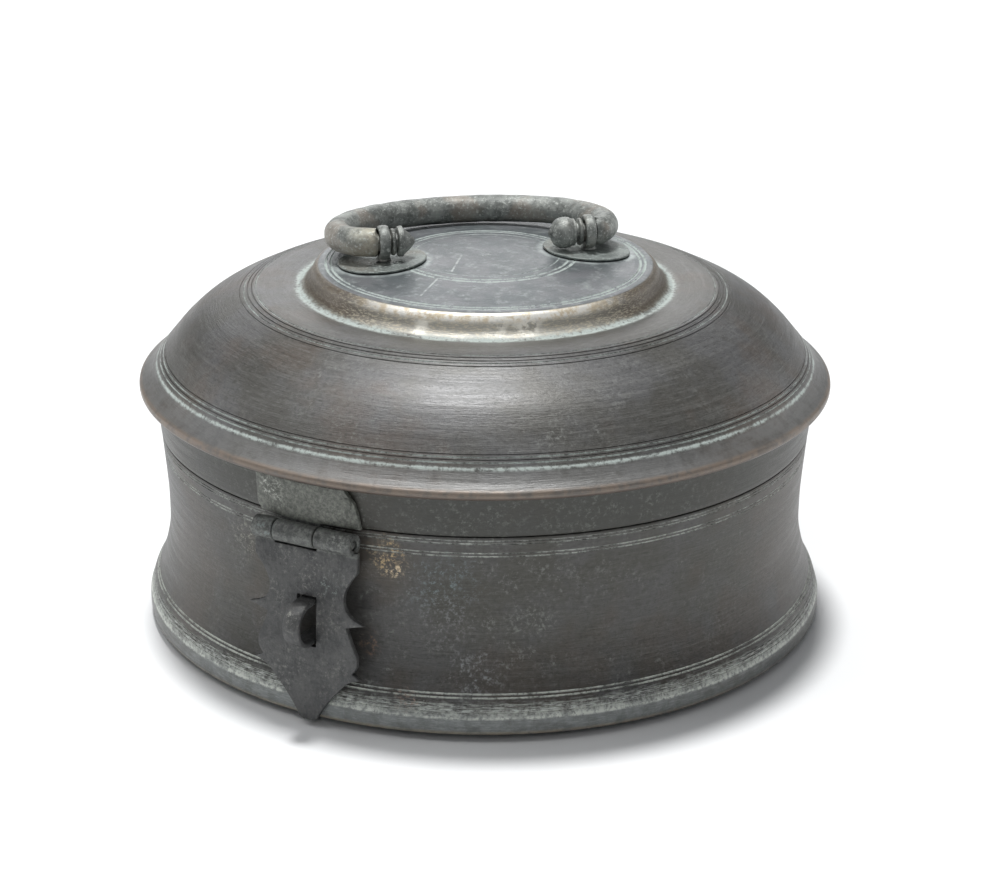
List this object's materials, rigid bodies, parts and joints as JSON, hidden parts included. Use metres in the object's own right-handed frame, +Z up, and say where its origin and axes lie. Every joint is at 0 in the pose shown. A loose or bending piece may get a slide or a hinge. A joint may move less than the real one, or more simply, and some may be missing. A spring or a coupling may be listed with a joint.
{
  "type": "chapati box",
  "caption": "Round waisted metal bread box with a domed lid on a rear hinge, a folding bail handle on the lid, and a slotted front hasp that drops over a padlock staple.",
  "frame": {"origin": "middle of the flat underside of the base, on the surface that the box stands on", "axes": "+Z up through the middle of the lid, -Y towards the hasp and away from the rear hinge"},
  "size_m": [0.22, 0.2295, 0.1275],
  "materials": {
    "body_brass": "dark patina over turned brass, with dusty patches",
    "lid_brass": "dark patina over spun brass, with a worn bright ring",
    "handle_bronze": "mottled grey cast metal",
    "hasp_brass": "dull dark sheet brass",
    "pin_brass": "dull brass wire"
  },
  "bodies": {
    "base": {"base_body": "body_brass", "hasp_staple": "hasp_brass", "hinge_body_leaf": "hasp_brass", "hinge_body_rivet_left": "pin_brass", "hinge_body_rivet_right": "pin_brass", "hinge_pin": "pin_brass"},
    "lid": {"lid": "lid_brass", "handle_pad_left": "handle_bronze", "handle_pad_right": "handle_bronze", "handle_eyelet_left": "handle_bronze", "handle_eyelet_right": "handle_bronze", "hasp_lid_leaf": "hasp_brass", "hasp_rivet_left": "pin_brass", "hasp_rivet_right": "pin_brass", "hinge_lid_leaf": "hasp_brass", "hinge_lid_rivet_left": "pin_brass", "hinge_lid_rivet_right": "pin_brass", "hasp_pin": "pin_brass"},
    "handle": {"handle_bail": "handle_bronze"},
    "hasp": {"hasp_plate": "hasp_brass"}
  },
  "joints": [
    {"name": "lid_hinge", "type": "hinge", "parent": "base", "child": "lid", "pos_m": [0, 0.10739, 0.05915], "axis": [-1, 0, 0], "range_deg": [0, 110]},
    {"name": "handle_swing", "type": "hinge", "parent": "lid", "child": "handle", "pos_m": [0.00103, -0.00122, 0.12208], "axis": [0.7627, 0.6468, 0], "range_deg": [0, 186]},
    {"name": "hasp_swing", "type": "hinge", "parent": "lid", "child": "hasp", "pos_m": [0, -0.10739, 0.05915], "axis": [-1, 0, 0], "range_deg": [0, 160]}
  ]
}
